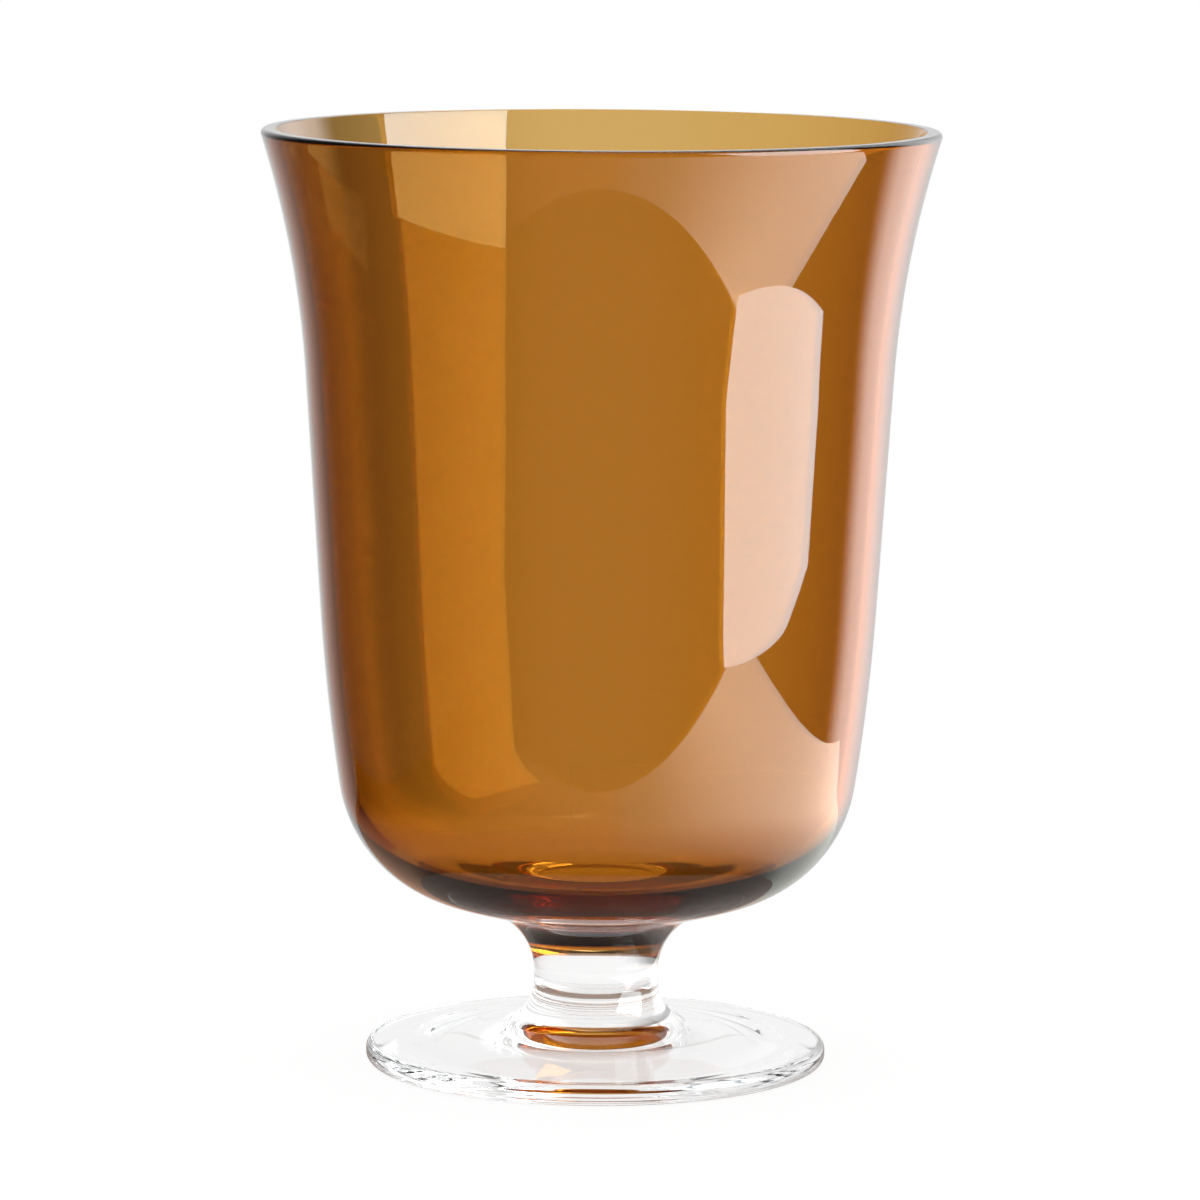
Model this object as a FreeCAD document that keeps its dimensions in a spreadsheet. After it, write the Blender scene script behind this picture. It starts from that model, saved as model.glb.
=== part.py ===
"""Footed bell-shaped glass vase, modelled piece by piece the way it is blown and joined.

An amber lining is cased in clear glass to form the bowl, which flares to a cut and polished rim.
The clear glass runs thick under the floor, where a short waisted stem is joined on, and the stem
stands on a round foot. Every piece is a turned form about the vertical axis, in millimetres.
The origin is the middle of the foot's resting plane, and +Z points up to the mouth.
"""

import FreeCAD, Part
import math
import os

import Sketcher

SHEET = "sizes"
PARTS_FOLDER = "parts"
PLANE_ROLE = "XZ_Plane"
UP = FreeCAD.Vector(0, 0, 1)

# Numbers that a sketch gives to its own axes, and to the two ends and the centre of a curve
ACROSS_INDEX = -1
UPRIGHT_INDEX = -2
START_INDEX = 1
END_INDEX = 2
CENTRE_INDEX = 3

# Every size that can be chosen by itself, in millimetres, and the shares that place outline points
DRIVING = {
    "bowl_height": (209.0, "from the joint with the stem up to the cut rim"),
    "rim_radius": (89.9, "widest part of the flared lip, at its rounded edge"),
    "side_foot_radius": (74.1, "outside of the wall at the lower end of its straight side"),
    "side_spread": (3.9, "how far the straight side leans out on its way up to the lip"),
    "wall_thickness": (4.1, "lining and casing together, square to the side"),
    "lining_thickness": (0.9, "the coloured layer alone"),
    "base_thickness": (8.8, "clear and coloured glass together on the axis, under the floor"),
    "rim_outer_round": (1.2, "polished outer edge of the rim"),
    "rim_inner_round": (0.4, "polished inner edge of the rim"),
    "stem_length": (30.2, "from the foot up to the bowl"),
    "stem_top_radius": (29.3, "top of the stem, where it spreads under the bowl"),
    "waist_radius": (16.6, "slimmest part of the stem"),
    "stem_foot_radius": (24.5, "bottom of the stem, where it spreads on the foot"),
    "foot_radius": (61.6, "outside of the foot"),
    "foot_height": (10.8, "thickness of the foot in its middle, under the stem"),
    "foot_edge_height": (5.7, "thickness of the foot where its edge starts to round over"),
    "foot_top_radius": (200.0, "hollow curve of the foot's upper face"),
    "foot_upper_round": (2.3, "upper edge of the foot"),
    "foot_lower_round": (2.5, "lower edge of the foot"),
    "resting_ring_width": (11.0, "flat ring that the vase stands on"),
    "underside_hollow": (6.0, "rise of the domed hollow inside the resting ring"),
    "side_top_height_share": (0.6875, "of the bowl's height"),
    "side_foot_height_share": (0.395, "of the bowl's height"),
    "shoulder_height_share": (0.163, "of the bowl's height"),
    "belly_height_share": (0.019, "of the bowl's height"),
    "shoulder_radius_share": (0.883, "of the way out from the stem's top to the side"),
    "belly_radius_share": (0.314, "of the way out from the stem's top to the side"),
    "cavity_corner_share": (0.379, "inside corner's radius over the side's radius"),
    "floor_dish_share": (6.1, "floor's curve over the side's radius"),
    "waist_low_share": (0.36, "lower end of the waist, of the stem's length"),
    "waist_high_share": (0.44, "upper end of the waist, of the stem's length"),
    "round_limit_share": (0.45, "most of a wall that a rounded edge may take"),
}

# Places and radii that follow from the sizes above
DERIVED = {
    "side_top_radius": "=side_foot_radius + side_spread",
    "side_top_height": "=bowl_height * side_top_height_share",
    "side_foot_height": "=bowl_height * side_foot_height_share",
    "shoulder_height": "=bowl_height * shoulder_height_share",
    "belly_height": "=bowl_height * belly_height_share",
    "shoulder_radius": "=stem_top_radius + (side_foot_radius - stem_top_radius) * shoulder_radius_share",
    "belly_radius": "=stem_top_radius + (side_foot_radius - stem_top_radius) * belly_radius_share",
    "cavity_corner_radius": "=side_foot_radius * cavity_corner_share",
    "floor_dish_radius": "=side_foot_radius * floor_dish_share",
    "casing_thickness": "=wall_thickness - lining_thickness",
    "rim_rounding": "=min(rim_outer_round; casing_thickness * round_limit_share)",
    "rim_rounding_radius": "=rim_radius - rim_rounding",
    "rim_rounding_height": "=bowl_height - rim_rounding",
    "mouth_rounding": "=min(rim_inner_round; lining_thickness * round_limit_share)",
    "seam_corner_radius": "=cavity_corner_radius + lining_thickness",
    "seam_dish_radius": "=floor_dish_radius + lining_thickness",
    "seam_floor_height": "=base_thickness - lining_thickness",
    "waist_low_height": "=stem_length * waist_low_share",
    "waist_high_height": "=stem_length * waist_high_share",
    "foot_upper_rounding": "=min(foot_upper_round; foot_edge_height * round_limit_share)",
    "foot_upper_rounding_radius": "=foot_radius - foot_upper_rounding",
    "foot_upper_rounding_height": "=foot_edge_height - foot_upper_rounding",
    "foot_lower_rounding": "=min(foot_lower_round; foot_edge_height * round_limit_share)",
    "resting_ring_radius": "=foot_radius - resting_ring_width",
    "bowl_place": "=foot_height + stem_length",
}


def fill_sheet(document):
    """Write the driving sizes as plain numbers and the derived ones as formulas."""
    sheet = document.addObject("Spreadsheet::Sheet", SHEET)
    row = 1
    for name, (value, note) in DRIVING.items():
        sheet.set(f"A{row}", name)
        sheet.set(f"B{row}", str(value))
        sheet.setAlias(f"B{row}", name)
        sheet.set(f"C{row}", note)
        row += 1
    for name, formula in DERIVED.items():
        sheet.set(f"A{row}", name)
        sheet.setAlias(f"B{row}", name)
        sheet.set(f"B{row}", formula)
        row += 1
    document.recompute()
    return sheet


def bound(name):
    """Expression that reads one named size."""
    return f"{SHEET}.{name}"


class Profile:
    """Half outline of a turned piece: curves joined end to end in a sketch on the axis plane."""

    def __init__(self, body, sheet, name):
        self.sheet = sheet
        self.sketch = body.newObject("Sketcher::SketchObject", name)
        plane = next(item for item in body.Origin.OriginFeatures if item.Role == PLANE_ROLE)
        self.sketch.AttachmentSupport = (plane, [""])
        self.sketch.MapMode = "FlatFace"

    def place(self, radius, height):
        """Point at two named sizes, where None stands for the axis or the base plane."""
        across = self.sheet.get(radius) if radius else 0.0
        up = self.sheet.get(height) if height else 0.0
        return FreeCAD.Vector(across, up, 0)

    def line(self, first, last, construction=False):
        """Add a line and return it as (curve, first end, last end)."""
        curve = self.sketch.addGeometry(Part.LineSegment(first, last), construction)
        return curve, START_INDEX, END_INDEX

    def arc(self, centre, first, last, construction=False):
        """Add an arc of under half a turn and return it as (curve, first end, last end)."""
        circle = Part.Circle(centre, UP, (first - centre).Length)
        begin = math.atan2(first.y - centre.y, first.x - centre.x)
        finish = math.atan2(last.y - centre.y, last.x - centre.x)
        turn = (finish - begin) % math.tau
        if turn < math.pi:
            arc = Part.ArcOfCircle(circle, begin, begin + turn)
            return self.sketch.addGeometry(arc, construction), START_INDEX, END_INDEX
        arc = Part.ArcOfCircle(circle, finish, finish + math.tau - turn)
        return self.sketch.addGeometry(arc, construction), END_INDEX, START_INDEX

    def fix(self, kind, *references):
        """Add a constraint that holds no size."""
        self.sketch.addConstraint(Sketcher.Constraint(kind, *references))

    def size(self, kind, references, drawn, name):
        """Add a constraint with its drawn value, and bind it to a named size."""
        index = self.sketch.addConstraint(Sketcher.Constraint(kind, *references, drawn))
        self.sketch.setExpression(f"Constraints[{index}]", bound(name))

    def pin(self, curve, end, radius, height):
        """Hold one end of a curve at a named radius and height, or on an axis where one is None."""
        point = self.sketch.getPoint(curve, end)
        if radius and height:
            self.size("DistanceX", (ACROSS_INDEX, START_INDEX, curve, end), point.x, radius)
            self.size("DistanceY", (ACROSS_INDEX, START_INDEX, curve, end), point.y, height)
        elif radius:
            self.fix("PointOnObject", curve, end, ACROSS_INDEX)
            self.size("DistanceX", (ACROSS_INDEX, START_INDEX, curve, end), point.x, radius)
        elif height:
            self.fix("PointOnObject", curve, end, UPRIGHT_INDEX)
            self.size("DistanceY", (ACROSS_INDEX, START_INDEX, curve, end), point.y, height)
        else:
            self.fix("Coincident", curve, end, ACROSS_INDEX, START_INDEX)

    def join(self, one, other, smooth=False):
        """Tie the last end of one curve to the first end of the next."""
        kind = "Tangent" if smooth else "Coincident"
        self.fix(kind, one[0], one[2], other[0], other[1])

    def end_point(self, curve):
        """Where a curve that was drawn here ends."""
        return self.sketch.getPoint(curve[0], curve[2])

    def start_point(self, curve):
        """Where a curve that was drawn here starts."""
        return self.sketch.getPoint(curve[0], curve[1])

    def centre(self, curve):
        """Centre of an arc that was drawn here."""
        return self.sketch.getPoint(curve[0], CENTRE_INDEX)


def tangent_centre(first, direction, last):
    """Centre of the arc that leaves one point along a direction and ends at another."""
    across = FreeCAD.Vector(-direction.y, direction.x, 0)
    across.normalize()
    chord = last - first
    return first + across * (chord.dot(chord) / (2 * chord.dot(across)))


def arrival_direction(centre, first, last):
    """Direction in which the arc from one point to another arrives."""
    spoke = last - centre
    square = FreeCAD.Vector(-spoke.y, spoke.x, 0)
    return square if square.dot(last - first) > 0 else square * -1


def draw_bell(profile, construction=False):
    """Outside of the bowl as a chain of tangent curves, from its rounded rim to the stem's top."""
    side_top = profile.place("side_top_radius", "side_top_height")
    side_foot = profile.place("side_foot_radius", "side_foot_height")
    shoulder = profile.place("shoulder_radius", "shoulder_height")
    belly = profile.place("belly_radius", "belly_height")
    seam = profile.place("stem_top_radius", None)

    side = profile.line(side_top, side_foot, construction)
    profile.pin(side[0], side[1], "side_top_radius", "side_top_height")
    profile.pin(side[0], side[2], "side_foot_radius", "side_foot_height")

    # The lip leaves the side along its line and swings out until it touches the rim's round edge
    edge_reach = profile.sheet.get("rim_rounding")
    edge_centre = profile.place("rim_rounding_radius", "rim_rounding_height")
    down = (side_foot - side_top).normalize()
    outward = FreeCAD.Vector(-down.y, down.x, 0)
    gap = side_top - edge_centre
    swing = (gap.dot(gap) - edge_reach * edge_reach) / (edge_reach - outward.dot(gap)) / 2
    lip_centre = side_top + outward * swing
    touch = edge_centre + (lip_centre - edge_centre).normalize() * math.copysign(edge_reach, swing)
    edge = profile.arc(edge_centre, edge_centre + FreeCAD.Vector(0, edge_reach, 0), touch, construction)
    profile.size("Radius", (edge[0],), edge_reach, "rim_rounding")
    profile.pin(edge[0], CENTRE_INDEX, "rim_rounding_radius", "rim_rounding_height")
    profile.fix("Vertical", edge[0], edge[1], edge[0], CENTRE_INDEX)
    lip = profile.arc(lip_centre, touch, side_top, construction)
    profile.join(edge, lip, smooth=True)
    profile.join(lip, side, smooth=True)

    chain = [edge, lip, side]
    first, direction = side_foot, side_foot - side_top
    stops = [
        (shoulder, "shoulder_radius", "shoulder_height"),
        (belly, "belly_radius", "belly_height"),
        (seam, "stem_top_radius", None),
    ]
    for last, radius, height in stops:
        centre = tangent_centre(first, direction, last)
        curve = profile.arc(centre, first, last, construction)
        profile.join(chain[-1], curve, smooth=True)
        profile.pin(curve[0], curve[2], radius, height)
        chain.append(curve)
        first, direction = last, arrival_direction(centre, first, last)
    return chain


def draw_inside(profile, bell, offset, corner_radius, dish_radius, floor_height, rounding=None):
    """Curve inside the bell, a named offset from its lip and side, down to the floor on the axis.

    It starts at the rim's flat cut, or with a rounded edge where a rounding is named.
    """
    lip, side, shoulder = bell[1:4]
    gap = profile.sheet.get(offset)
    rim_height = profile.sheet.get("bowl_height")
    side_top, side_foot = profile.start_point(side), profile.end_point(side)
    down = (side_foot - side_top).normalize()
    inward = FreeCAD.Vector(down.y, -down.x, 0) * gap

    inner_side = profile.line(side_top + inward, side_foot + inward)
    profile.fix("Parallel", inner_side[0], side[0])
    profile.size("Distance", (inner_side[0], START_INDEX, side[0]), gap, offset)

    # The rounded edge lies within the lip's circle where that is hollow outward, and else outside it
    lip_centre = profile.centre(lip)
    reach = (side_top + inward - lip_centre).Length
    edge_reach = profile.sheet.get(rounding) if rounding else 0.0
    to_edge = reach - math.copysign(edge_reach, lip_centre.x - side_top.x)
    rise = rim_height - edge_reach - lip_centre.y
    run = math.sqrt(to_edge * to_edge - rise * rise)
    toward_axis = math.copysign(run, side_top.x - lip_centre.x)
    edge_centre = lip_centre + FreeCAD.Vector(toward_axis, rise, 0)
    lip_top = lip_centre + (edge_centre - lip_centre).normalize() * reach
    inner_lip = profile.arc(lip_centre, lip_top, side_top + inward)
    profile.fix("Coincident", inner_lip[0], CENTRE_INDEX, lip[0], CENTRE_INDEX)
    profile.join(inner_lip, inner_side, smooth=True)
    chain = [inner_lip, inner_side]
    if rounding:
        edge = profile.arc(edge_centre, edge_centre + FreeCAD.Vector(0, edge_reach, 0), lip_top)
        profile.size("Radius", (edge[0],), edge_reach, rounding)
        profile.fix("Vertical", edge[0], edge[1], edge[0], CENTRE_INDEX)
        profile.join(edge, inner_lip, smooth=True)
        chain = [edge, inner_lip, inner_side]

    # The inside corner touches the offset shoulder and the dished floor. It lies within the
    # shoulder's circle where that bends towards the axis, and outside it where it bends away.
    shoulder_centre = profile.centre(shoulder)
    shoulder_reach = (side_foot + inward - shoulder_centre).Length
    corner_reach = profile.sheet.get(corner_radius)
    dish_reach = profile.sheet.get(dish_radius)
    floor = profile.place(None, floor_height)
    dish_centre = floor + FreeCAD.Vector(0, dish_reach, 0)
    shoulder_side = math.copysign(corner_reach, shoulder_centre.x - side_foot.x)
    from_shoulder = Part.Circle(shoulder_centre, UP, shoulder_reach + shoulder_side)
    from_dish = Part.Circle(dish_centre, UP, dish_reach - corner_reach)
    crossings = [FreeCAD.Vector(p.X, p.Y, 0) for p in from_shoulder.intersectCC(from_dish)]
    corner_centre = max(crossings, key=lambda point: point.x)
    corner_top = shoulder_centre + (corner_centre - shoulder_centre).normalize() * shoulder_reach
    corner_foot = dish_centre + (corner_centre - dish_centre).normalize() * dish_reach

    inner_shoulder = profile.arc(shoulder_centre, side_foot + inward, corner_top)
    profile.fix("Coincident", inner_shoulder[0], CENTRE_INDEX, shoulder[0], CENTRE_INDEX)
    profile.join(inner_side, inner_shoulder, smooth=True)

    corner = profile.arc(corner_centre, corner_top, corner_foot)
    profile.size("Radius", (corner[0],), corner_reach, corner_radius)
    profile.join(inner_shoulder, corner, smooth=True)

    dish = profile.arc(dish_centre, corner_foot, floor)
    profile.size("Radius", (dish[0],), dish_reach, dish_radius)
    profile.join(corner, dish, smooth=True)
    profile.fix("PointOnObject", dish[0], CENTRE_INDEX, UPRIGHT_INDEX)
    profile.pin(dish[0], dish[2], None, floor_height)
    return chain + [inner_shoulder, corner, dish]


def close_rim(profile, outer, inner):
    """Flat cut of the rim, between the first curves of two chains."""
    cut = profile.line(profile.start_point(inner), profile.start_point(outer))
    profile.fix("Coincident", cut[0], START_INDEX, inner[0], inner[1])
    profile.fix("Coincident", cut[0], END_INDEX, outer[0], outer[1])
    profile.fix("Horizontal", cut[0])


def close_axis(profile, top, bottom):
    """Line on the axis from the last end of one curve to the last end of another."""
    axis = profile.line(profile.end_point(top), profile.end_point(bottom))
    profile.fix("Coincident", axis[0], START_INDEX, top[0], top[2])
    profile.fix("Coincident", axis[0], END_INDEX, bottom[0], bottom[2])


def turn(body, profile, name):
    """Turn a finished profile once round the vertical axis."""
    body.Document.recompute()
    feature = body.newObject("PartDesign::Revolution", name)
    feature.Profile = profile.sketch
    feature.ReferenceAxis = (profile.sketch, ["V_Axis"])
    feature.Angle = 360
    profile.sketch.Visibility = False
    body.Document.recompute()
    return feature


def new_body(document, name, place=None):
    """Body with its own label, raised to a named height where it sits on another piece."""
    body = document.addObject("PartDesign::Body", name)
    body.Label = name
    if place:
        body.setExpression("Placement.Base.z", bound(place))
    return body


def build_clear_casing(document, sheet):
    """Clear outer gather: the bell's outside, the lining's seat and the thick base on the stem."""
    body = new_body(document, "clear_casing", "bowl_place")
    profile = Profile(body, sheet, "CasingProfile")
    bell = draw_bell(profile)
    inside = draw_inside(
        profile, bell, "casing_thickness", "seam_corner_radius", "seam_dish_radius", "seam_floor_height"
    )
    seam = profile.line(profile.end_point(bell[-1]), FreeCAD.Vector())
    profile.join(bell[-1], seam)
    profile.pin(seam[0], END_INDEX, None, None)
    close_rim(profile, bell[0], inside[0])
    close_axis(profile, inside[-1], seam)
    turn(body, profile, "CasingTurned")
    return body


def build_amber_lining(document, sheet):
    """Coloured inner layer: the cavity's wall and floor, fused all over to the casing."""
    body = new_body(document, "amber_lining", "bowl_place")
    profile = Profile(body, sheet, "LiningProfile")
    bell = draw_bell(profile, construction=True)
    outside = draw_inside(
        profile, bell, "casing_thickness", "seam_corner_radius", "seam_dish_radius", "seam_floor_height"
    )
    cavity = draw_inside(
        profile,
        bell,
        "wall_thickness",
        "cavity_corner_radius",
        "floor_dish_radius",
        "base_thickness",
        rounding="mouth_rounding",
    )
    close_rim(profile, outside[0], cavity[0])
    close_axis(profile, cavity[-1], outside[-1])
    # The construction rim alone would leave the lining's own rim free to slide up or down
    profile.fix("Horizontal", outside[0][0], outside[0][1], bell[0][0], bell[0][1])
    turn(body, profile, "LiningTurned")
    return body


def build_stem(document, sheet):
    """Solid drawn stem: a narrow waist that spreads up to the bowl and down to the foot."""
    body = new_body(document, "stem", "foot_height")
    profile = Profile(body, sheet, "StemProfile")
    top = profile.place("stem_top_radius", "stem_length")
    waist_high = profile.place("waist_radius", "waist_high_height")
    waist_low = profile.place("waist_radius", "waist_low_height")
    bottom = profile.place("stem_foot_radius", None)

    waist = profile.line(waist_high, waist_low)
    profile.fix("Vertical", waist[0])
    profile.pin(waist[0], START_INDEX, "waist_radius", "waist_high_height")
    above_foot = (ACROSS_INDEX, START_INDEX, waist[0], END_INDEX)
    profile.size("DistanceY", above_foot, waist_low.y, "waist_low_height")

    upper = profile.arc(tangent_centre(waist_high, waist_high - waist_low, top), top, waist_high)
    profile.join(upper, waist, smooth=True)
    profile.pin(upper[0], upper[1], "stem_top_radius", "stem_length")

    lower = profile.arc(tangent_centre(waist_low, waist_low - waist_high, bottom), waist_low, bottom)
    profile.join(waist, lower, smooth=True)
    profile.pin(lower[0], lower[2], "stem_foot_radius", None)

    under = profile.line(bottom, FreeCAD.Vector())
    profile.join(lower, under)
    profile.pin(under[0], END_INDEX, None, None)

    over = profile.line(top, profile.place(None, "stem_length"))
    profile.fix("Coincident", over[0], START_INDEX, upper[0], upper[1])
    profile.fix("Horizontal", over[0])
    profile.fix("PointOnObject", over[0], END_INDEX, UPRIGHT_INDEX)
    close_axis(profile, over, under)
    turn(body, profile, "StemTurned")
    return body


def build_foot(document, sheet):
    """Round foot: a hollow-curved upper face, a rounded edge and a flat ring to stand on."""
    body = new_body(document, "foot")
    profile = Profile(body, sheet, "FootProfile")
    seat = profile.place("stem_foot_radius", "foot_height")
    ring = profile.place("resting_ring_radius", None)
    middle = profile.place(None, "underside_hollow")

    over = profile.line(profile.place(None, "foot_height"), seat)
    profile.fix("Horizontal", over[0])
    profile.fix("PointOnObject", over[0], START_INDEX, UPRIGHT_INDEX)
    profile.pin(over[0], END_INDEX, "stem_foot_radius", "foot_height")

    # The upper face is hollow, so its centre stands above the foot, one radius from the stem and
    # one radius and a rounding from the centre of the rounded edge that it runs into
    reach = sheet.get("foot_top_radius")
    upper_reach = sheet.get("foot_upper_rounding")
    upper_centre = profile.place("foot_upper_rounding_radius", "foot_upper_rounding_height")
    from_seat = Part.Circle(seat, UP, reach)
    from_edge = Part.Circle(upper_centre, UP, reach + upper_reach)
    crossings = [FreeCAD.Vector(p.X, p.Y, 0) for p in from_seat.intersectCC(from_edge)]
    top_centre = max(crossings, key=lambda point: point.y)
    touch = upper_centre + (top_centre - upper_centre).normalize() * upper_reach
    top = profile.arc(top_centre, seat, touch)
    profile.size("Radius", (top[0],), reach, "foot_top_radius")
    profile.join(over, top)

    upper_end = upper_centre + FreeCAD.Vector(upper_reach, 0, 0)
    upper = profile.arc(upper_centre, touch, upper_end)
    profile.size("Radius", (upper[0],), upper_reach, "foot_upper_rounding")
    profile.pin(upper[0], CENTRE_INDEX, "foot_upper_rounding_radius", "foot_upper_rounding_height")
    profile.fix("Horizontal", upper[0], upper[2], upper[0], CENTRE_INDEX)
    profile.join(top, upper, smooth=True)

    lower_reach = sheet.get("foot_lower_rounding")
    edge_foot = FreeCAD.Vector(upper_end.x, lower_reach, 0)
    edge = profile.line(upper_end, edge_foot)
    profile.join(upper, edge)
    profile.fix("Vertical", edge[0])

    lower_centre = edge_foot - FreeCAD.Vector(lower_reach, 0, 0)
    lower_end = FreeCAD.Vector(lower_centre.x, 0, 0)
    lower = profile.arc(lower_centre, edge_foot, lower_end)
    profile.size("Radius", (lower[0],), lower_reach, "foot_lower_rounding")
    profile.join(edge, lower, smooth=True)

    under = profile.line(lower_end, ring)
    profile.join(lower, under, smooth=True)
    profile.fix("PointOnObject", under[0], START_INDEX, ACROSS_INDEX)
    profile.pin(under[0], END_INDEX, "resting_ring_radius", None)

    hollow_reach = (ring.x * ring.x + middle.y * middle.y) / (2 * middle.y)
    hollow = profile.arc(middle - FreeCAD.Vector(0, hollow_reach, 0), ring, middle)
    profile.join(under, hollow)
    profile.fix("PointOnObject", hollow[0], CENTRE_INDEX, UPRIGHT_INDEX)
    profile.pin(hollow[0], hollow[2], None, "underside_hollow")

    axis = profile.line(middle, profile.place(None, "foot_height"))
    profile.fix("Coincident", axis[0], START_INDEX, hollow[0], hollow[2])
    profile.fix("Coincident", axis[0], END_INDEX, over[0], START_INDEX)
    turn(body, profile, "FootTurned")
    return body


def check_document(document, bodies):
    """Stop on any object that failed, on an open sketch, and on a piece that isn't one sound solid."""
    for item in document.Objects:
        if "Invalid" in item.State or "Error" in item.State:
            raise RuntimeError(f"{item.Name} failed: {item.State}")
        if item.isDerivedFrom("Sketcher::SketchObject") and item.solve() != 0:
            raise RuntimeError(f"{item.Name} doesn't solve")
    for body in bodies:
        shape = body.Shape
        if shape.isNull() or not shape.isValid() or len(shape.Solids) != 1:
            raise RuntimeError(f"{body.Label} isn't one sound solid")


def main():
    """Build the vase, check it and write one file for each piece."""
    document = FreeCAD.newDocument("footed_glass_vase")
    sheet = fill_sheet(document)
    bodies = [
        build_foot(document, sheet),
        build_stem(document, sheet),
        build_clear_casing(document, sheet),
        build_amber_lining(document, sheet),
    ]
    document.recompute()
    check_document(document, bodies)
    os.makedirs(PARTS_FOLDER, exist_ok=True)
    for body in bodies:
        body.Shape.exportStep(os.path.join(PARTS_FOLDER, f"{body.Label}.step"))
        print(f"{body.Label}: {body.Shape.Volume:.1f} mm3")


main()
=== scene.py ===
"""Looks of the footed bell-shaped glass vase: cased amber bowl, clear stem and clear foot.

Each piece is turned from its own half outline and is shown in place of its solid, which it hides. The
pieces are hot-joined in the real vase, so no air lies between them: where two of them meet, the
faces are marked as a seam, and light goes straight through there.
"""

import math

import bmesh
import bpy
from mathutils import Matrix, Vector


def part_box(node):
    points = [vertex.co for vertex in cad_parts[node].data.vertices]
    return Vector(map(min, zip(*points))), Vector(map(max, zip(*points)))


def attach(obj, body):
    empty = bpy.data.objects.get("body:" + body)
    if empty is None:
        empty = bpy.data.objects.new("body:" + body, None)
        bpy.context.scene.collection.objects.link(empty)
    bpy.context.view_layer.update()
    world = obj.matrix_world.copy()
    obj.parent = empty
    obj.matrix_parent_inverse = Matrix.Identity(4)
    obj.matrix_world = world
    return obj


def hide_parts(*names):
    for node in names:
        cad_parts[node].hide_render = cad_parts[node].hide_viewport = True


bl_info = {
    "name": "Footed bell vase",
    "version": (1, 0, 0),
    "blender": (4, 5, 0),
    "location": "View3D > Sidebar > Vase",
    "description": "Blows, joins and lights a footed bell-shaped vase in cased amber glass",
    "category": "Add Mesh",
}

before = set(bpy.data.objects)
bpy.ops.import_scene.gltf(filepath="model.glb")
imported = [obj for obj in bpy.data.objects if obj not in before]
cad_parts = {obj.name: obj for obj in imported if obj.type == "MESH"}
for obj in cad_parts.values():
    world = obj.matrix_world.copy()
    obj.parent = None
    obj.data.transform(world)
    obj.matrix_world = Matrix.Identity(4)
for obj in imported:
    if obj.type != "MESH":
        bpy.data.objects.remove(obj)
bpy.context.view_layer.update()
CASING_LOW, CASING_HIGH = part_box("clear_casing")
STEM_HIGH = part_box("stem")[1]
FOOT_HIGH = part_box("foot")[1]

BODY = "root"
SEAM = "seam"
TURN_AXIS = Vector((0, 1, 0))
UP = Vector((0, 0, 1))
WHITE = (1.0, 1.0, 1.0, 1.0)

# Metres and radians: the hair's breadth that keeps two joined faces apart, how near points count
# as one, and the longest step and turn along an outline
SEAM_GAP = 0.00001
MERGE = 0.0000005
OUTLINE_STEP = 0.0025
OUTLINE_TURN = math.radians(3)

# Counts: the fewest steps of an arc, the steps of each layer across the rim's cut, and the steps
# of one sector and its doublings until it closes the round
LEAST_ARC_STEPS = 3
CASING_CUT_STEPS = 4
LINING_CUT_STEPS = 2
SECTOR_STEPS = 6
TURN_DOUBLINGS = 5

# Shares of the bowl's height, of the reach from the stem to the side, and of the side's radius
SIDE_TOP_RISE = 0.6875
SIDE_FOOT_RISE = 0.395
SHOULDER_RISE = 0.163
SHOULDER_REACH = 0.883
BELLY_RISE = 0.019
BELLY_REACH = 0.314
CORNER_REACH = 0.379
DISH_REACH = 6.1

# Shares of the stem's length between which its waist is straight
WAIST_TOP = 0.44
WAIST_FOOT = 0.36

# Blown waves: their size in metres, their stretch upwards and the share of the fine drawn lines,
# then how deep the foot's are beside the bowl's, and how much finer the lines are than the waves
WAVE_INPUTS = ("Wave size", "Stretch", "Line share")
BOWL_WAVES = (0.045, 2.5, 0.06)
STEM_WAVES = (0.02, 1.5, 0.15)
FOOT_WAVES = (0.045, 1.0, 0.08)
FOOT_WAVE_SHARE = 0.4
LINES_PER_WAVE = 4.0

# How often a ray may be bent, thrown back or let through before it ends
MOST_BOUNCES = 32
MOST_THROWN_BACK = 16
MOST_LET_THROUGH = 64

# The backdrop and the room in reflections: headings are in radians from straight behind, positive
# to the right, with the outer and inner limits of each soft edge, and a brightness of 1 is white
BACKDROP_HEADINGS = [math.radians(angle) for angle in (-54, -8, 50, 64)]
BRIGHT_HEADINGS = [math.radians(angle) for angle in (10, 42)]
BACKDROP_LEFT = 0.92
BACKDROP_RIGHT = 2.4
ROOM_GREY = 0.05
ROOM_PALE = 0.8
ROOM_FRONT = 0.15
FRONT_HEADINGS = [math.radians(angle) for angle in (138, 165)]

# How bright the world is for dull things, which it lights
LIGHT_LEVEL = 0.9

# The grey card behind the bowl: metres, with the limits of its soft edge and of its soft foot
CARD_PLACE = 0.1
CARD_EDGES = (-0.3, -0.008)
CARD_HEIGHTS = (0.026, 0.5)
CARD_FOOT = (0.026, 0.05)
CARD_SOFT = (-0.012, -0.09)
CARD_GREY = 0.42

# The tall softbox on the right, in metres: its lower end slopes, and its near corner is cut off
SOFTBOX_CORNERS = (
    (0.72, -0.565, -0.13),
    (0.905, 0.015, -0.045),
    (0.93, 0.09, 1.1),
    (0.56, -0.73, 1.1),
    (0.62, -0.66, 0.17),
)
SOFTBOX_TINT = (0.84, 0.96, 1.0, 1.0)
SOFTBOX_GLOW = 8.8
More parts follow.
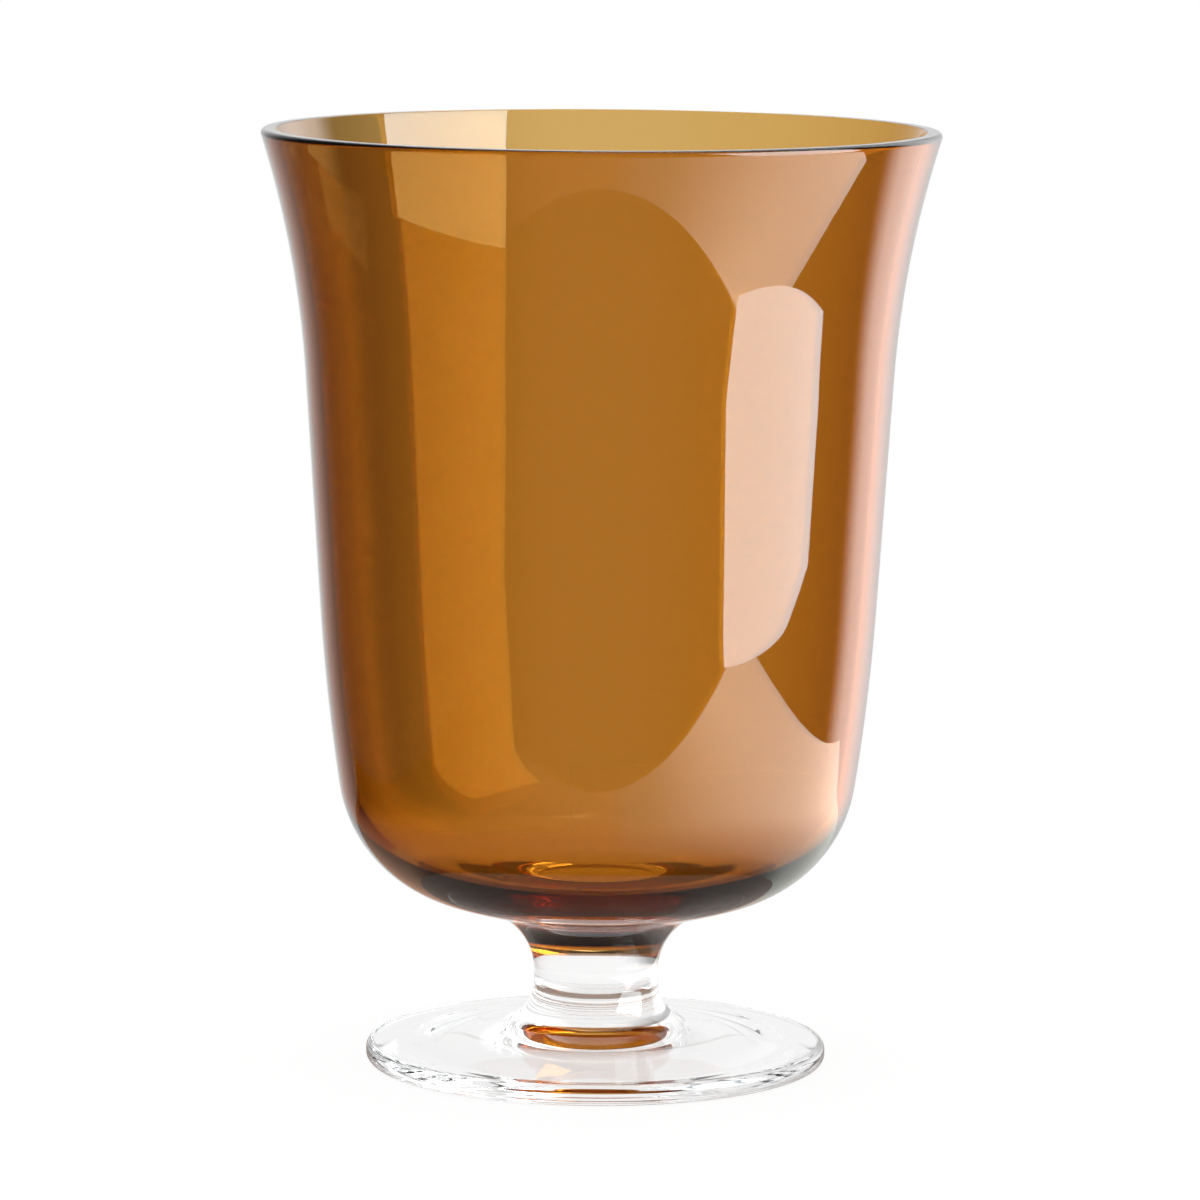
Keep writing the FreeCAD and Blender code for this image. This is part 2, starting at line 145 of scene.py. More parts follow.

# The table top, in metres, with the limits of the painted shade under the foot, and how bright it looks:
# straight, through glass away from the foot, through glass under it with painted shade, and mirrored
# once with painted amber shade; the second tint, that painted amber shade, is for what is mirrored
# once, and the first for the rest
TABLE_RADIUS = 0.45
TABLE_STEPS = 96
UNDER_SHADE_EDGE = (0.075, 0.055)
TABLE_GREY = (0.14, 0.14, 0.14, 1.0)
TABLE_WHITE = 0.9
TABLE_IN_GLASS = 0.874
TABLE_UNDER_SHADE = 0.84
TABLE_MIRRORED_SHADE = 0.3
TABLE_TINTS = (1.0, 1.0, 1.0), (1.0, 0.72, 0.58)

# How far out mirrored rays still meet the table top, in metres, and the turned-up edge there
TABLE_SEEN = 0.085
EDGE_RADIUS = 0.095
EDGE_HEIGHT = 0.014
EDGE_GLOW = 0.9

# The sweep below, in metres, with painted light and shade: its tint and brightness on the left and
# on the right, and the limits of each change; the amber on the left is painted light from the bowl,
# the bright right is painted light from the softbox, and it is painted darker far to the left and
# in painted shade near the vase
SWEEP_CORNERS = (
    (-0.95, -0.76, -0.236),
    (1.32, -0.76, -0.236),
    (1.02, 0.8, -0.236),
    (-0.95, 0.8, -0.236),
)
SWEEP_LIGHT_TINTS = (1.0, 0.6, 0.42), (0.93, 0.94, 0.86)
SWEEP_TINTED = (0.02, 0.2)
SWEEP_LEFT = 1.0
SWEEP_RIGHT = 4.8
SWEEP_BRIGHT = (0.15, 0.95)
SWEEP_DARK = (-0.85, 0.1)
SWEEP_SHADE = (0.3, 0.48)

# The camera: metres, radians, millimetres for the lens and the film, and the shift as a share
CAMERA_PLACE = (0.0, -1.684, 0.35617)
CAMERA_PITCH = math.radians(90.0 - 7.8307)
CAMERA_ROLL = math.radians(0.4)
CAMERA_LENS = 191.4
CAMERA_FILM = 36.0
CAMERA_SHIFT = 0.00133
CAMERA_REACH = (0.05, 20.0)


class VaseSizes(bpy.types.PropertyGroup):
    """Sizes of the vase's outline."""

    bowl_height: bpy.props.FloatProperty(
        name="Bowl height",
        description="From the joint with the stem up to the cut rim",
        default=CASING_HIGH.z - CASING_LOW.z,
        min=0.01,
        unit="LENGTH",
    )
    rim_radius: bpy.props.FloatProperty(
        name="Rim radius",
        description="Widest part of the flared lip",
        default=0.0899,
        min=0.01,
        unit="LENGTH",
    )
    side_foot_radius: bpy.props.FloatProperty(
        name="Side radius",
        description="Outside of the wall at the lower end of its straight side",
        default=0.0741,
        min=0.01,
        unit="LENGTH",
    )
    side_spread: bpy.props.FloatProperty(
        name="Side spread",
        description="How far the straight side leans out on its way up",
        default=0.0039,
        unit="LENGTH",
    )
    wall_thickness: bpy.props.FloatProperty(
        name="Wall",
        description="Amber lining and clear casing together",
        default=0.0041,
        min=0.001,
        unit="LENGTH",
    )
    lining_thickness: bpy.props.FloatProperty(
        name="Lining",
        description="The amber layer alone",
        default=0.0009,
        min=0.0001,
        unit="LENGTH",
    )
    base_thickness: bpy.props.FloatProperty(
        name="Base",
        description="Glass on the axis under the bowl's floor",
        default=0.0088,
        min=0.001,
        unit="LENGTH",
    )
    rim_outer_round: bpy.props.FloatProperty(
        name="Rim outer edge",
        description="Polished rounding of the rim's outer edge",
        default=0.0012,
        min=0.0001,
        unit="LENGTH",
    )
    rim_inner_round: bpy.props.FloatProperty(
        name="Rim inner edge",
        description="Polished rounding of the rim's inner edge",
        default=0.0004,
        min=0.0001,
        unit="LENGTH",
    )
    stem_top_radius: bpy.props.FloatProperty(
        name="Stem top radius",
        description="Where the stem spreads under the bowl",
        default=0.0293,
        min=0.001,
        unit="LENGTH",
    )
    waist_radius: bpy.props.FloatProperty(
        name="Waist radius",
        description="Slimmest part of the stem",
        default=0.0166,
        min=0.001,
        unit="LENGTH",
    )
    stem_foot_radius: bpy.props.FloatProperty(
        name="Stem foot radius",
        description="Where the stem spreads on the foot",
        default=0.0245,
        min=0.001,
        unit="LENGTH",
    )
    foot_radius: bpy.props.FloatProperty(
        name="Foot radius",
        description="Outside of the foot",
        default=0.0616,
        min=0.001,
        unit="LENGTH",
    )
    foot_edge_height: bpy.props.FloatProperty(
        name="Foot edge",
        description="Thickness of the foot where its edge starts to round over",
        default=0.0057,
        min=0.001,
        unit="LENGTH",
    )
    foot_top_radius: bpy.props.FloatProperty(
        name="Foot hollow",
        description="Radius of the hollow curve of the foot's upper face",
        default=0.2,
        min=0.01,
        unit="LENGTH",
    )
    foot_upper_round: bpy.props.FloatProperty(
        name="Foot upper edge",
        description="Rounding of the foot's upper edge",
        default=0.0023,
        min=0.0001,
        unit="LENGTH",
    )
    foot_lower_round: bpy.props.FloatProperty(
        name="Foot lower edge",
        description="Rounding of the foot's lower edge",
        default=0.0025,
        min=0.0001,
        unit="LENGTH",
    )
    resting_ring_width: bpy.props.FloatProperty(
        name="Resting ring",
        description="Flat ring under the foot that the vase stands on",
        default=0.011,
        min=0.001,
        unit="LENGTH",
    )
    underside_hollow: bpy.props.FloatProperty(
        name="Underside hollow",
        description="Rise of the domed hollow inside the resting ring",
        default=0.006,
        min=0.0001,
        unit="LENGTH",
    )


class VaseFinish(bpy.types.PropertyGroup):
    """Colour and finish of the glass."""

    amber: bpy.props.FloatVectorProperty(
        name="Amber",
        description="Light that one wall's lining lets through where it is seen square on",
        default=(0.68, 0.415, 0.125),
        min=0.001,
        max=1.0,
        size=3,
        subtype="COLOR",
    )
    refraction: bpy.props.FloatProperty(
        name="Refraction",
        description="How strongly the glass bends light",
        default=1.51,
        min=1.0,
        max=2.0,
    )
    wave_height: bpy.props.FloatProperty(
        name="Blown waves",
        description="Depth of the slow waves that blowing leaves in the glass",
        default=0.0001,
        min=0.0,
        unit="LENGTH",
    )


class Outline:
    """Half outline of a turned piece, drawn point by point on the X-Z plane."""

    def __init__(self, radius, height):
        self.mesh = bmesh.new()
        self.seam = self.mesh.faces.layers.float.new(SEAM)
        self.point = self.mesh.verts.new((radius, 0.0, height))
        self.runs = []

    def keep_run(self, before, joined):
        """Keep the edges drawn since a count as one run, which is a seam if joined."""
        self.mesh.edges.ensure_lookup_table()
        edges = [self.mesh.edges[i] for i in range(before, len(self.mesh.edges))]
        self.runs.append((edges, joined))

    def lift(self, radius, height):
        """Go on from another point, with nothing drawn on the axis in between."""
        self.point = self.mesh.verts.new((radius, 0.0, height))

    def line(self, radius, height, joined=False, parts=None):
        """Straight run to a point."""
        before = len(self.mesh.edges)
        whole = Vector((radius, 0.0, height)) - self.point.co
        parts = parts or max(1, math.ceil(whole.length / OUTLINE_STEP))
        for _ in range(parts):
            added = bmesh.ops.extrude_vert_indiv(self.mesh, verts=[self.point])
            self.point = added["verts"][0]
            bmesh.ops.translate(self.mesh, verts=[self.point], vec=whole / parts)
        self.keep_run(before, joined)

    def arc(self, centre, radius, height, joined=False):
        """Arc round a centre to a point."""
        before = len(self.mesh.edges)
        hub = Vector((centre.x, 0.0, centre.y))
        spoke = self.point.co - hub
        last = Vector((radius, 0.0, height)) - hub
        angle = math.atan2(spoke.cross(last).dot(TURN_AXIS), spoke.dot(last))
        reach = abs(angle) * spoke.length
        steps = math.ceil(max(abs(angle) / OUTLINE_TURN, reach / OUTLINE_STEP, LEAST_ARC_STEPS))
        turned = bmesh.ops.spin(
            self.mesh,
            geom=[self.point],
            cent=hub,
            axis=TURN_AXIS,
            angle=angle,
            steps=steps,
            use_merge=False,
            use_duplicate=False,
        )
        self.point = next(v for v in turned["geom_last"] if isinstance(v, bmesh.types.BMVert))
        self.keep_run(before, joined)

    def turn(self, name):
        """Turn the whole outline once round the vase's axis and return the closed mesh."""
        mesh = self.mesh
        sector = math.tau / 2**TURN_DOUBLINGS
        for edges, joined in self.runs:
            before = set(mesh.faces)
            corners = list(dict.fromkeys(corner for edge in edges for corner in edge.verts))
            bmesh.ops.spin(
                mesh,
                geom=corners + edges,
                cent=(0.0, 0.0, 0.0),
                axis=UP,
                angle=sector,
                steps=SECTOR_STEPS,
                use_merge=False,
                use_duplicate=False,
            )
            for face in mesh.faces:
                if face not in before:
                    face[self.seam] = 1.0 if joined else 0.0
        # One narrow sector is turned, and doubled until it closes the round
        for _ in range(TURN_DOUBLINGS):
            copied = bmesh.ops.duplicate(mesh, geom=mesh.verts[:] + mesh.edges[:] + mesh.faces[:])
            corners = [item for item in copied["geom"] if isinstance(item, bmesh.types.BMVert)]
            turned = Matrix.Rotation(sector, 3, "Z")
            bmesh.ops.rotate(mesh, verts=corners, cent=(0.0, 0.0, 0.0), matrix=turned)
            sector *= 2
        bmesh.ops.remove_doubles(mesh, verts=mesh.verts[:], dist=MERGE)
        bmesh.ops.recalc_face_normals(mesh, faces=mesh.faces[:])
        for face in mesh.faces:
            face.smooth = True
        for edge in mesh.edges:
            if len(edge.link_faces) != 2:
                raise RuntimeError(f"{name} isn't closed")
            edge.smooth = edge.link_faces[0][self.seam] == edge.link_faces[1][self.seam]
        data = bpy.data.meshes.new(name)
        mesh.to_mesh(data)
        mesh.free()
        return data


def tangent_centre(first, direction, last):
    """Centre of the arc that leaves one point along a direction and ends at another."""
    across = direction.orthogonal().normalized()
    chord = last - first
    return first + across * (chord.dot(chord) / (2 * chord.dot(across)))


def arrival(centre, first, last):
    """Direction in which the arc from one point to another arrives."""
    square = (last - centre).orthogonal()
    return square if square.dot(last - first) > 0 else -square


def crossing(one, one_reach, other, other_reach, key):
    """Where two circles cross, at the crossing that a key puts highest."""
    apart = other - one
    along = (apart.dot(apart) + one_reach**2 - other_reach**2) / (2 * apart.length)
    aside = math.sqrt(one_reach**2 - along**2)
    foot = one + apart.normalized() * along
    side = apart.orthogonal().normalized() * aside
    return max((foot + side, foot - side), key=key)


class Bell:
    """Points and centres of the bowl's outside, and of the curves that run inside it."""

    def __init__(self, sizes):
        height = sizes.bowl_height
        self.sizes = sizes
        self.seam = Vector((sizes.stem_top_radius, 0.0))
        reach = sizes.side_foot_radius - sizes.stem_top_radius
        self.side_foot = Vector((sizes.side_foot_radius, height * SIDE_FOOT_RISE))
        self.side_top = Vector((sizes.side_foot_radius + sizes.side_spread, height * SIDE_TOP_RISE))
        self.shoulder = Vector((sizes.stem_top_radius + reach * SHOULDER_REACH, height * SHOULDER_RISE))
        self.belly = Vector((sizes.stem_top_radius + reach * BELLY_REACH, height * BELLY_RISE))
        rounding = sizes.rim_outer_round
        self.edge_centre = Vector((sizes.rim_radius - rounding, height - rounding))
        down = (self.side_foot - self.side_top).normalized()
        self.outward = Vector((-down.y, down.x))
        gap = self.side_top - self.edge_centre
        swing = (gap.dot(gap) - rounding**2) / (rounding - self.outward.dot(gap)) / 2
        self.lip_centre = self.side_top + self.outward * swing
        self.touch = self.edge_centre + (self.lip_centre - self.edge_centre).normalized() * rounding
        first, direction = self.side_foot, down
        self.centres = []
        for last in (self.shoulder, self.belly, self.seam):
            centre = tangent_centre(first, direction, last)
            direction = arrival(centre, first, last)
            self.centres.append(centre)
            first = last

    def draw_outside(self, outline, place):
        """Carry an outline from the rim's flat cut down to the joint with the stem."""
        outline.arc(self.edge_centre + place, *(self.touch + place))
        outline.arc(self.lip_centre + place, *(self.side_top + place))
        outline.line(*(self.side_foot + place))
        for centre, last in zip(self.centres, (self.shoulder, self.belly, self.seam)):
            outline.arc(centre + place, *(last + place))

    def inside(self, offset, floor, rounding=0.0):
        """Points and centres of a curve inside the bell, from the rim down to the floor."""
        sizes = self.sizes
        deeper = sizes.wall_thickness - offset
        corner_reach = sizes.side_foot_radius * CORNER_REACH + deeper
        dish_reach = sizes.side_foot_radius * DISH_REACH + deeper
        inward = self.outward * -offset
        side_top, side_foot = self.side_top + inward, self.side_foot + inward
        reach = (side_top - self.lip_centre).length
        rise = sizes.bowl_height - rounding - self.lip_centre.y
        run = math.sqrt((reach - rounding) ** 2 - rise**2)
        edge_centre = self.lip_centre + Vector((-run, rise))
        lip_top = self.lip_centre + (edge_centre - self.lip_centre).normalized() * reach
        shoulder_centre = self.centres[0]
        shoulder_reach = (side_foot - shoulder_centre).length
        dish_centre = Vector((0.0, floor + dish_reach))
        corner_centre = crossing(
            shoulder_centre,
            shoulder_reach - corner_reach,
            dish_centre,
            dish_reach - corner_reach,
            key=lambda point: point.x,
        )
        corner_top = shoulder_centre + (corner_centre - shoulder_centre).normalized() * shoulder_reach
        corner_foot = dish_centre + (corner_centre - dish_centre).normalized() * dish_reach
        return {
            "edge_centre": edge_centre,
            "lip_top": lip_top,
            "side_top": side_top,
            "side_foot": side_foot,
            "corner_centre": corner_centre,
            "corner_top": corner_top,
            "corner_foot": corner_foot,
            "dish_centre": dish_centre,
            "floor": Vector((0.0, floor)),
        }

    def draw_up(self, outline, inner, place, joined):
        """Carry an outline from the floor on the axis up to the top of the inner lip."""
        outline.lift(*(inner["floor"] + place))
        outline.arc(inner["dish_centre"] + place, *(inner["corner_foot"] + place), joined=joined)
        outline.arc(inner["corner_centre"] + place, *(inner["corner_top"] + place), joined=joined)
        outline.arc(self.centres[0] + place, *(inner["side_foot"] + place), joined=joined)
        outline.line(*(inner["side_top"] + place), joined=joined)
        outline.arc(self.lip_centre + place, *(inner["lip_top"] + place), joined=joined)

    def draw_down(self, outline, inner, place, joined):
        """Carry an outline from the top of the inner lip down to the floor on the axis."""
        outline.arc(self.lip_centre + place, *(inner["side_top"] + place), joined=joined)
        outline.line(*(inner["side_foot"] + place), joined=joined)
        outline.arc(self.centres[0] + place, *(inner["corner_top"] + place), joined=joined)
        outline.arc(inner["corner_centre"] + place, *(inner["corner_foot"] + place), joined=joined)
        outline.arc(inner["dish_centre"] + place, *(inner["floor"] + place), joined=joined)


def put(tree, value, socket):
    """Feed a socket from another one, or set it to a plain value."""
    if isinstance(value, bpy.types.NodeSocket):
        tree.links.new(value, socket)
    else:
        socket.default_value = value


def math_node(tree, operation, *values):
    """Math node over sockets and plain numbers; gives its output."""
    node = tree.nodes.new("ShaderNodeMath")
    node.operation = operation
    for socket, value in zip(node.inputs, values):
        put(tree, value, socket)
    return node.outputs[0]


def noise(tree, place, pitch):
    """Smooth noise of one octave over a place; gives its height."""
    node = tree.nodes.new("ShaderNodeTexNoise")
    node.inputs["Detail"].default_value = 0.0
    tree.links.new(place, node.inputs["Vector"])
    tree.links.new(pitch, node.inputs["Scale"])
    return node.outputs["Fac"]


def glass_waves():
    """Node group: height of the slow waves and fine drawn lines that hot work leaves in glass."""
    name = "Hot worked waves"
    if name in bpy.data.node_groups:
        return bpy.data.node_groups[name]
    group = bpy.data.node_groups.new(name, "ShaderNodeTree")
    for label in WAVE_INPUTS:
        group.interface.new_socket(label, in_out="INPUT", socket_type="NodeSocketFloat")
    group.interface.new_socket("Height", in_out="OUTPUT", socket_type="NodeSocketFloat")
    nodes, links = group.nodes, group.links
    asked = nodes.new("NodeGroupInput").outputs
    place = nodes.new("ShaderNodeTexCoord")
    flatten = nodes.new("ShaderNodeCombineXYZ")
    upward = math_node(group, "DIVIDE", 1.0, asked["Stretch"])
    for socket, share in zip(flatten.inputs, (1.0, 1.0, upward)):
        put(group, share, socket)
    stretched = nodes.new("ShaderNodeVectorMath")
    stretched.operation = "MULTIPLY"
    links.new(place.outputs["Object"], stretched.inputs[0])
    links.new(flatten.outputs[0], stretched.inputs[1])
    pitch = math_node(group, "DIVIDE", 1.0, asked["Wave size"])
    waves = noise(group, stretched.outputs[0], pitch)
    fine = noise(group, stretched.outputs[0], math_node(group, "MULTIPLY", pitch, LINES_PER_WAVE))
    height = math_node(group, "MULTIPLY_ADD", fine, asked["Line share"], waves)
    links.new(height, nodes.new("NodeGroupOutput").inputs["Height"])
    return group


def seam_mask():
    """Node group: 0 where two pieces are hot-joined and 1 where the glass meets the air."""
    name = "Surface that meets air"
    if name in bpy.data.node_groups:
        return bpy.data.node_groups[name]
    group = bpy.data.node_groups.new(name, "ShaderNodeTree")
    group.interface.new_socket("Mask", in_out="OUTPUT", socket_type="NodeSocketFloat")
    marked = group.nodes.new("ShaderNodeAttribute")
    marked.attribute_name = SEAM
    open_air = math_node(group, "SUBTRACT", 1.0, marked.outputs["Fac"])
    group.links.new(open_air, group.nodes.new("NodeGroupOutput").inputs["Mask"])
    return group


def glass(name, finish, waves, wave_share=1.0):
    """Clear polished glass that bends light where it meets the air."""
    material = bpy.data.materials.new(name)
    material.use_nodes = True
    nodes, links = material.node_tree.nodes, material.node_tree.links
    shader = nodes["Principled BSDF"]
    shader.inputs["Base Color"].default_value = WHITE
    shader.inputs["Roughness"].default_value = 0.0
    shader.inputs["IOR"].default_value = finish.refraction
    shader.inputs["Transmission Weight"].default_value = 1.0
    surface = nodes.new("ShaderNodeGroup")
    surface.node_tree = glass_waves()
    for label, value in zip(WAVE_INPUTS, waves):
        surface.inputs[label].default_value = value
    bump = nodes.new("ShaderNodeBump")
    bump.inputs["Strength"].default_value = 1.0
    bump.inputs["Distance"].default_value = finish.wave_height * wave_share
    links.new(surface.outputs["Height"], bump.inputs["Height"])
    links.new(bump.outputs["Normal"], shader.inputs["Normal"])
    mask = nodes.new("ShaderNodeGroup")
    mask.node_tree = seam_mask()
    links.new(mask.outputs["Mask"], shader.inputs["Alpha"])
    return material


def amber_glass(finish, thickness):
    """Glass whose depth takes light away until the asked amber is left after one thickness."""
    material = glass("amber_lining_glass", finish, BOWL_WAVES)
    nodes, links = material.node_tree.nodes, material.node_tree.links
    taken = [-math.log(share) / thickness for share in finish.amber]
    most = max(taken)
    depth = nodes.new("ShaderNodeVolumeAbsorption")
    depth.inputs["Color"].default_value = (*[1.0 - part / most for part in taken], 1.0)
    depth.inputs["Density"].default_value = most
    links.new(depth.outputs["Volume"], nodes["Material Output"].inputs["Volume"])
    return material


def show(data, material, node):
    """Put a finished mesh in the scene in place of its solid."""
    data.materials.append(material)
    piece = bpy.data.objects.new(data.name, data)
    bpy.context.scene.collection.objects.link(piece)
    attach(piece, BODY)
    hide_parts(node)


def asked_for(context):
    """The sizes and the finish that the sidebar holds."""
    return context.scene.vase_sizes, context.scene.vase_finish


class VASE_OT_blow_casing(bpy.types.Operator):
    """Blow the clear casing: the bell's outside, its cut rim and the thick base"""

    bl_idname = "vase.blow_casing"
    bl_label = "Clear casing"

    def execute(self, context):
        sizes, finish = asked_for(context)
        place = Vector((0.0, STEM_HIGH.z))
        bell = Bell(sizes)
        rim = place.y + sizes.bowl_height
        seat = bell.inside(
            sizes.wall_thickness - sizes.lining_thickness,
            sizes.base_thickness - sizes.lining_thickness,
        )
        outline = Outline(bell.edge_centre.x, rim)
        bell.draw_outside(outline, place)
        outline.line(0.0, place.y, joined=True)
        bell.draw_up(outline, seat, place, joined=True)
        outline.line(bell.edge_centre.x, rim, parts=CASING_CUT_STEPS)
        material = glass("clear_casing_glass", finish, BOWL_WAVES)
        show(outline.turn("casing"), material, "clear_casing")
        return {"FINISHED"}


class VASE_OT_blow_lining(bpy.types.Operator):
    """Blow the amber lining: the whole inner wall and floor of the bowl"""

    bl_idname = "vase.blow_lining"
    bl_label = "Amber lining"

    def execute(self, context):
        sizes, finish = asked_for(context)
        place = Vector((0.0, STEM_HIGH.z))
        bell = Bell(sizes)
        rim = place.y + sizes.bowl_height
        back = bell.inside(
            sizes.wall_thickness - sizes.lining_thickness + SEAM_GAP,
            sizes.base_thickness - sizes.lining_thickness + SEAM_GAP,
        )
        cavity = bell.inside(sizes.wall_thickness, sizes.base_thickness, sizes.rim_inner_round)
        outline = Outline(cavity["edge_centre"].x, rim)
        outline.arc(cavity["edge_centre"] + place, *(cavity["lip_top"] + place))
        bell.draw_down(outline, cavity, place, joined=False)
        bell.draw_up(outline, back, place, joined=True)
        outline.line(cavity["edge_centre"].x, rim, parts=LINING_CUT_STEPS)
        material = amber_glass(finish, sizes.lining_thickness)
        show(outline.turn("lining"), material, "amber_lining")
        return {"FINISHED"}


class VASE_OT_draw_stem(bpy.types.Operator):
    """Draw the solid clear stem, narrow in its middle and spread at both ends"""

    bl_idname = "vase.draw_stem"
    bl_label = "Stem"

    def execute(self, context):
        sizes, finish = asked_for(context)
        low, high = FOOT_HIGH.z + SEAM_GAP, STEM_HIGH.z - SEAM_GAP
        length = STEM_HIGH.z - FOOT_HIGH.z
        waist_high = Vector((sizes.waist_radius, FOOT_HIGH.z + length * WAIST_TOP))
        waist_low = Vector((sizes.waist_radius, FOOT_HIGH.z + length * WAIST_FOOT))
        top = Vector((sizes.stem_top_radius, high))
        bottom = Vector((sizes.stem_foot_radius, low))
        upper = tangent_centre(waist_high, waist_high - waist_low, top)
        lower = tangent_centre(waist_low, waist_low - waist_high, bottom)
        outline = Outline(0.0, high)
        outline.line(*top, joined=True)
        outline.arc(upper, *waist_high)
        outline.line(*waist_low)
        outline.arc(lower, *bottom)
        outline.line(0.0, low, joined=True)
        material = glass("clear_stem_glass", finish, STEM_WAVES)
        show(outline.turn("stem"), material, "stem")
        return {"FINISHED"}


class VASE_OT_press_foot(bpy.types.Operator):
    """Form the round clear foot: hollow upper face, rounded edge and a flat resting ring"""

    bl_idname = "vase.press_foot"
    bl_label = "Foot"

    def execute(self, context):
        sizes, finish = asked_for(context)
        seat = Vector((sizes.stem_foot_radius, FOOT_HIGH.z))
        rounding = sizes.foot_upper_round
        upper = Vector((sizes.foot_radius - rounding, sizes.foot_edge_height - rounding))
        lower = Vector((sizes.foot_radius - sizes.foot_lower_round, sizes.foot_lower_round))
        top = crossing(
            seat,
            sizes.foot_top_radius,
            upper,
            sizes.foot_top_radius + rounding,
            key=lambda point: point.y,
        )
        touch = upper + (top - upper).normalized() * rounding
        ring = sizes.foot_radius - sizes.resting_ring_width
        deep = sizes.underside_hollow
        hollow = Vector((0.0, deep - (ring**2 + deep**2) / (2 * deep)))
        outline = Outline(0.0, seat.y)
        outline.line(*seat, joined=True)
        outline.arc(top, *touch)
        outline.arc(upper, sizes.foot_radius, upper.y)
        outline.line(sizes.foot_radius, lower.y)
        outline.arc(lower, lower.x, 0.0)
        outline.line(ring, 0.0)
        outline.arc(hollow, 0.0, deep)
        material = glass("clear_foot_glass", finish, FOOT_WAVES, FOOT_WAVE_SHARE)
        show(outline.turn("foot"), material, "foot")
        return {"FINISHED"}


def blend(tree, share, none, full):
    """Value that goes from one to another as a share goes from 0 to 1."""
    return math_node(tree, "MULTIPLY_ADD", share, math_node(tree, "SUBTRACT", full, none), none)


def tint_from(tree, share, none, full):
    """Colour that goes from one to another as a share goes from 0 to 1."""
    tint = tree.nodes.new("ShaderNodeCombineXYZ")
    for socket, start, end in zip(tint.inputs, none, full):
        tree.links.new(blend(tree, share, start, end), socket)
    return tint.outputs[0]


def ramp(tree, value, zero, one):
    """Smooth rise from 0 at one limit to 1 at another."""
    node = tree.nodes.new("ShaderNodeMapRange")
    node.interpolation_type = "SMOOTHSTEP"
    tree.links.new(value, node.inputs["Value"])
    node.inputs["From Min"].default_value = zero
    node.inputs["From Max"].default_value = one
    return node.outputs["Result"]


def between(tree, value, out_low, in_low, in_high, out_high):
    """1 between two inner limits, and a smooth fall to 0 at two outer ones."""
    sides = ramp(tree, value, out_low, in_low), ramp(tree, value, out_high, in_high)
    return math_node(tree, "MULTIPLY", *sides)


def both(tree, one, other):
    """1 where two masks are 1."""
    return math_node(tree, "MULTIPLY", one, other)


def opposite(tree, mask):
    """1 where a mask is 0."""
    return math_node(tree, "SUBTRACT", 1.0, mask)


def happened(tree, count, times):
    """1 once a ray's count of one kind of turn has come to a number."""
    # Counts are whole, so the limit lies halfway to the one before
    return math_node(tree, "GREATER_THAN", count, times - 0.5)


def in_mirror(tree, path):
    """1 for light that has been thrown back at least once by the glass."""
    return happened(tree, path.outputs["Glossy Depth"], 1)


def often_mirrored(tree, path):
    """1 for light that has been thrown back more than once by the glass."""
    return happened(tree, path.outputs["Glossy Depth"], 2)


def passed_glass(tree, path):
    """1 for light that has gone into the glass at least once."""
    return happened(tree, path.outputs["Transmission Depth"], 1)


def seen_in_glass(tree, path):
    """1 for light that reaches the eye through or off a glossy surface."""
    return math_node(tree, "MAXIMUM", path.outputs["Is Glossy Ray"], path.outputs["Is Transmission Ray"])


def place_on(tree, coordinates):
    """Place on one of the texture coordinates, as X, Y and Z outputs."""
    place = tree.nodes.new("ShaderNodeTexCoord")
    parts = tree.nodes.new("ShaderNodeSeparateXYZ")
    tree.links.new(place.outputs[coordinates], parts.inputs[0])
    return parts.outputs


def distance(tree):
    """Distance from the middle of the vase's resting plane."""
    place = tree.nodes.new("ShaderNodeTexCoord")
    length = tree.nodes.new("ShaderNodeVectorMath")
    length.operation = "LENGTH"
    tree.links.new(place.outputs["Object"], length.inputs[0])
    return length.outputs["Value"]


def show_where(material, share, shown):
    """Show a shader by a share, and leave the surface clear elsewhere."""
    tree = material.node_tree
    clear = tree.nodes.new("ShaderNodeBsdfTransparent")
    mix = tree.nodes.new("ShaderNodeMixShader")
    tree.links.new(share, mix.inputs["Fac"])
    tree.links.new(clear.outputs[0], mix.inputs[1])
    tree.links.new(shown, mix.inputs[2])
    tree.links.new(mix.outputs[0], tree.nodes["Material Output"].inputs["Surface"])


def set_up(scene, name, mesh, material):
    """Put a part of the stage in the scene."""
    data = bpy.data.meshes.new(name)
    mesh.to_mesh(data)
    mesh.free()
    data.materials.append(material)
    prop = bpy.data.objects.new(name, data)
    scene.collection.objects.link(prop)


def flat(corners):
    """Mesh of one face."""
    mesh = bmesh.new()
    mesh.faces.new([mesh.verts.new(corner) for corner in corners])
    return mesh


class LightPanel:
    """Panel that shows its light only to some of the glass's rays."""

    def __init__(self, name):
        self.name = name
        self.material = bpy.data.materials.new(f"{name}_light")
        self.material.use_nodes = True
        self.tree = self.material.node_tree
        self.tree.nodes.remove(self.tree.nodes["Principled BSDF"])
        self.path = self.tree.nodes.new("ShaderNodeLightPath")
        self.place = place_on(self.tree, "Object")

    def hang(self, scene, mesh, tint, glow, shown):
        """Give the panel its shape, its light and the share in which it shows."""
        light = self.tree.nodes.new("ShaderNodeEmission")
        put(self.tree, tint, light.inputs["Color"])
        put(self.tree, glow, light.inputs["Strength"])
        show_where(self.material, shown, light.outputs[0])
        set_up(scene, self.name, mesh, self.material)


